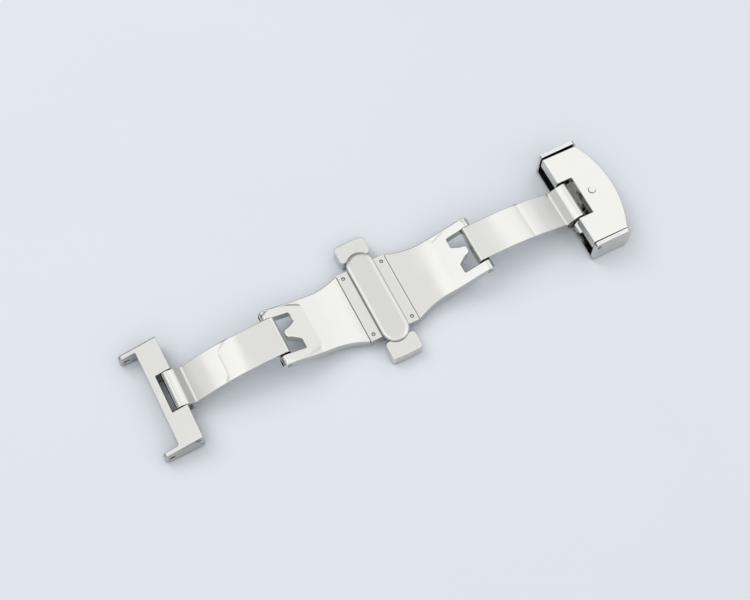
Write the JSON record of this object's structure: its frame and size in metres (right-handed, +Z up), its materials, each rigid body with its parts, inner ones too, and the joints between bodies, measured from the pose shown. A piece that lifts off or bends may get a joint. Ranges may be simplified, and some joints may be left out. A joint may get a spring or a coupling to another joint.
{
  "type": "butterfly clasp",
  "caption": "Folding butterfly clasp for a watch strap: curved base with side pushers, hinged arms, a T-shaped strap bar and a D-shaped buckle with a clamp plate.",
  "frame": {"origin": "middle of the flat underside of the lock housing, on the surface that the open clasp lies on", "axes": "+X along the clasp from the strap bar to the buckle, +Y along the hinge pins towards the rear pusher, +Z up, from the underside to the cover plate"},
  "size_m": [0.0895, 0.0232, 0.0063],
  "materials": {
    "polished_steel": "mirror-polished stainless steel",
    "pusher_steel": "polished stainless steel",
    "satin_steel": "satin stainless steel",
    "pin_steel": "turned stainless steel, with staked ends",
    "spring_steel": "bright spring wire"
  },
  "bodies": {
    "base": {"left_blade": "polished_steel", "right_blade": "polished_steel", "lock_housing": "polished_steel", "flange_rivets": "pin_steel", "cover_plate": "satin_steel", "left_hinge_pin": "pin_steel", "right_hinge_pin": "pin_steel", "return_spring": "spring_steel"},
    "front_button": {"front_pusher": "pusher_steel"},
    "rear_button": {"rear_pusher": "pusher_steel"},
    "left_wing": {"left_arm": "polished_steel", "left_catches": "pin_steel"},
    "right_wing": {"right_arm": "polished_steel", "right_catches": "pin_steel"},
    "strap_end": {"strap_bar": "polished_steel", "strap_bar_pin": "pin_steel"},
    "buckle": {"buckle_shell": "polished_steel", "buckle_hinge_pin": "pin_steel"},
    "clamp": {"clamp_plate": "polished_steel", "strap_peg": "pin_steel"}
  },
  "joints": [
    {"name": "left_arm_fold", "type": "hinge", "parent": "base", "child": "left_wing", "pos_m": [-0.0188, 0, 0.00472], "axis": [0, -1, 0], "range_deg": [0, 155.86]},
    {"name": "right_arm_fold", "type": "hinge", "parent": "base", "child": "right_wing", "pos_m": [0.0188, 0, 0.00472], "axis": [0, 1, 0], "range_deg": [0, 158.6]},
    {"name": "strap_bar_swing", "type": "hinge", "parent": "left_wing", "child": "strap_end", "pos_m": [-0.03756, 0, 0.0034], "axis": [0, 1, 0], "range_deg": [0, 155.86]},
    {"name": "buckle_swing", "type": "hinge", "parent": "right_wing", "child": "buckle", "pos_m": [0.0376, 0, 0.0043], "axis": [0, -1, 0], "range_deg": [0, 158.6]},
    {"name": "clamp_lift", "type": "hinge", "parent": "buckle", "child": "clamp", "pos_m": [0.0376, 0, 0.0043], "axis": [0, 1, 0], "range_deg": [-90, 0]},
    {"name": "front_push", "type": "slide", "parent": "base", "child": "front_button", "axis": [0, 1, 0], "range_m": [0, 0.0011], "stiffness_N_per_m": 900, "springref_m": -0.0004, "deforming": ["return_spring"]},
    {"name": "rear_push", "type": "slide", "parent": "base", "child": "rear_button", "axis": [0, -1, 0], "range_m": [0, 0.0011], "stiffness_N_per_m": 900, "springref_m": -0.0004, "deforming": ["return_spring"]}
  ],
  "couplings": [
    {"joint": "strap_bar_swing", "follows": "left_arm_fold", "ratio": 1},
    {"joint": "buckle_swing", "follows": "right_arm_fold", "ratio": 1}
  ]
}
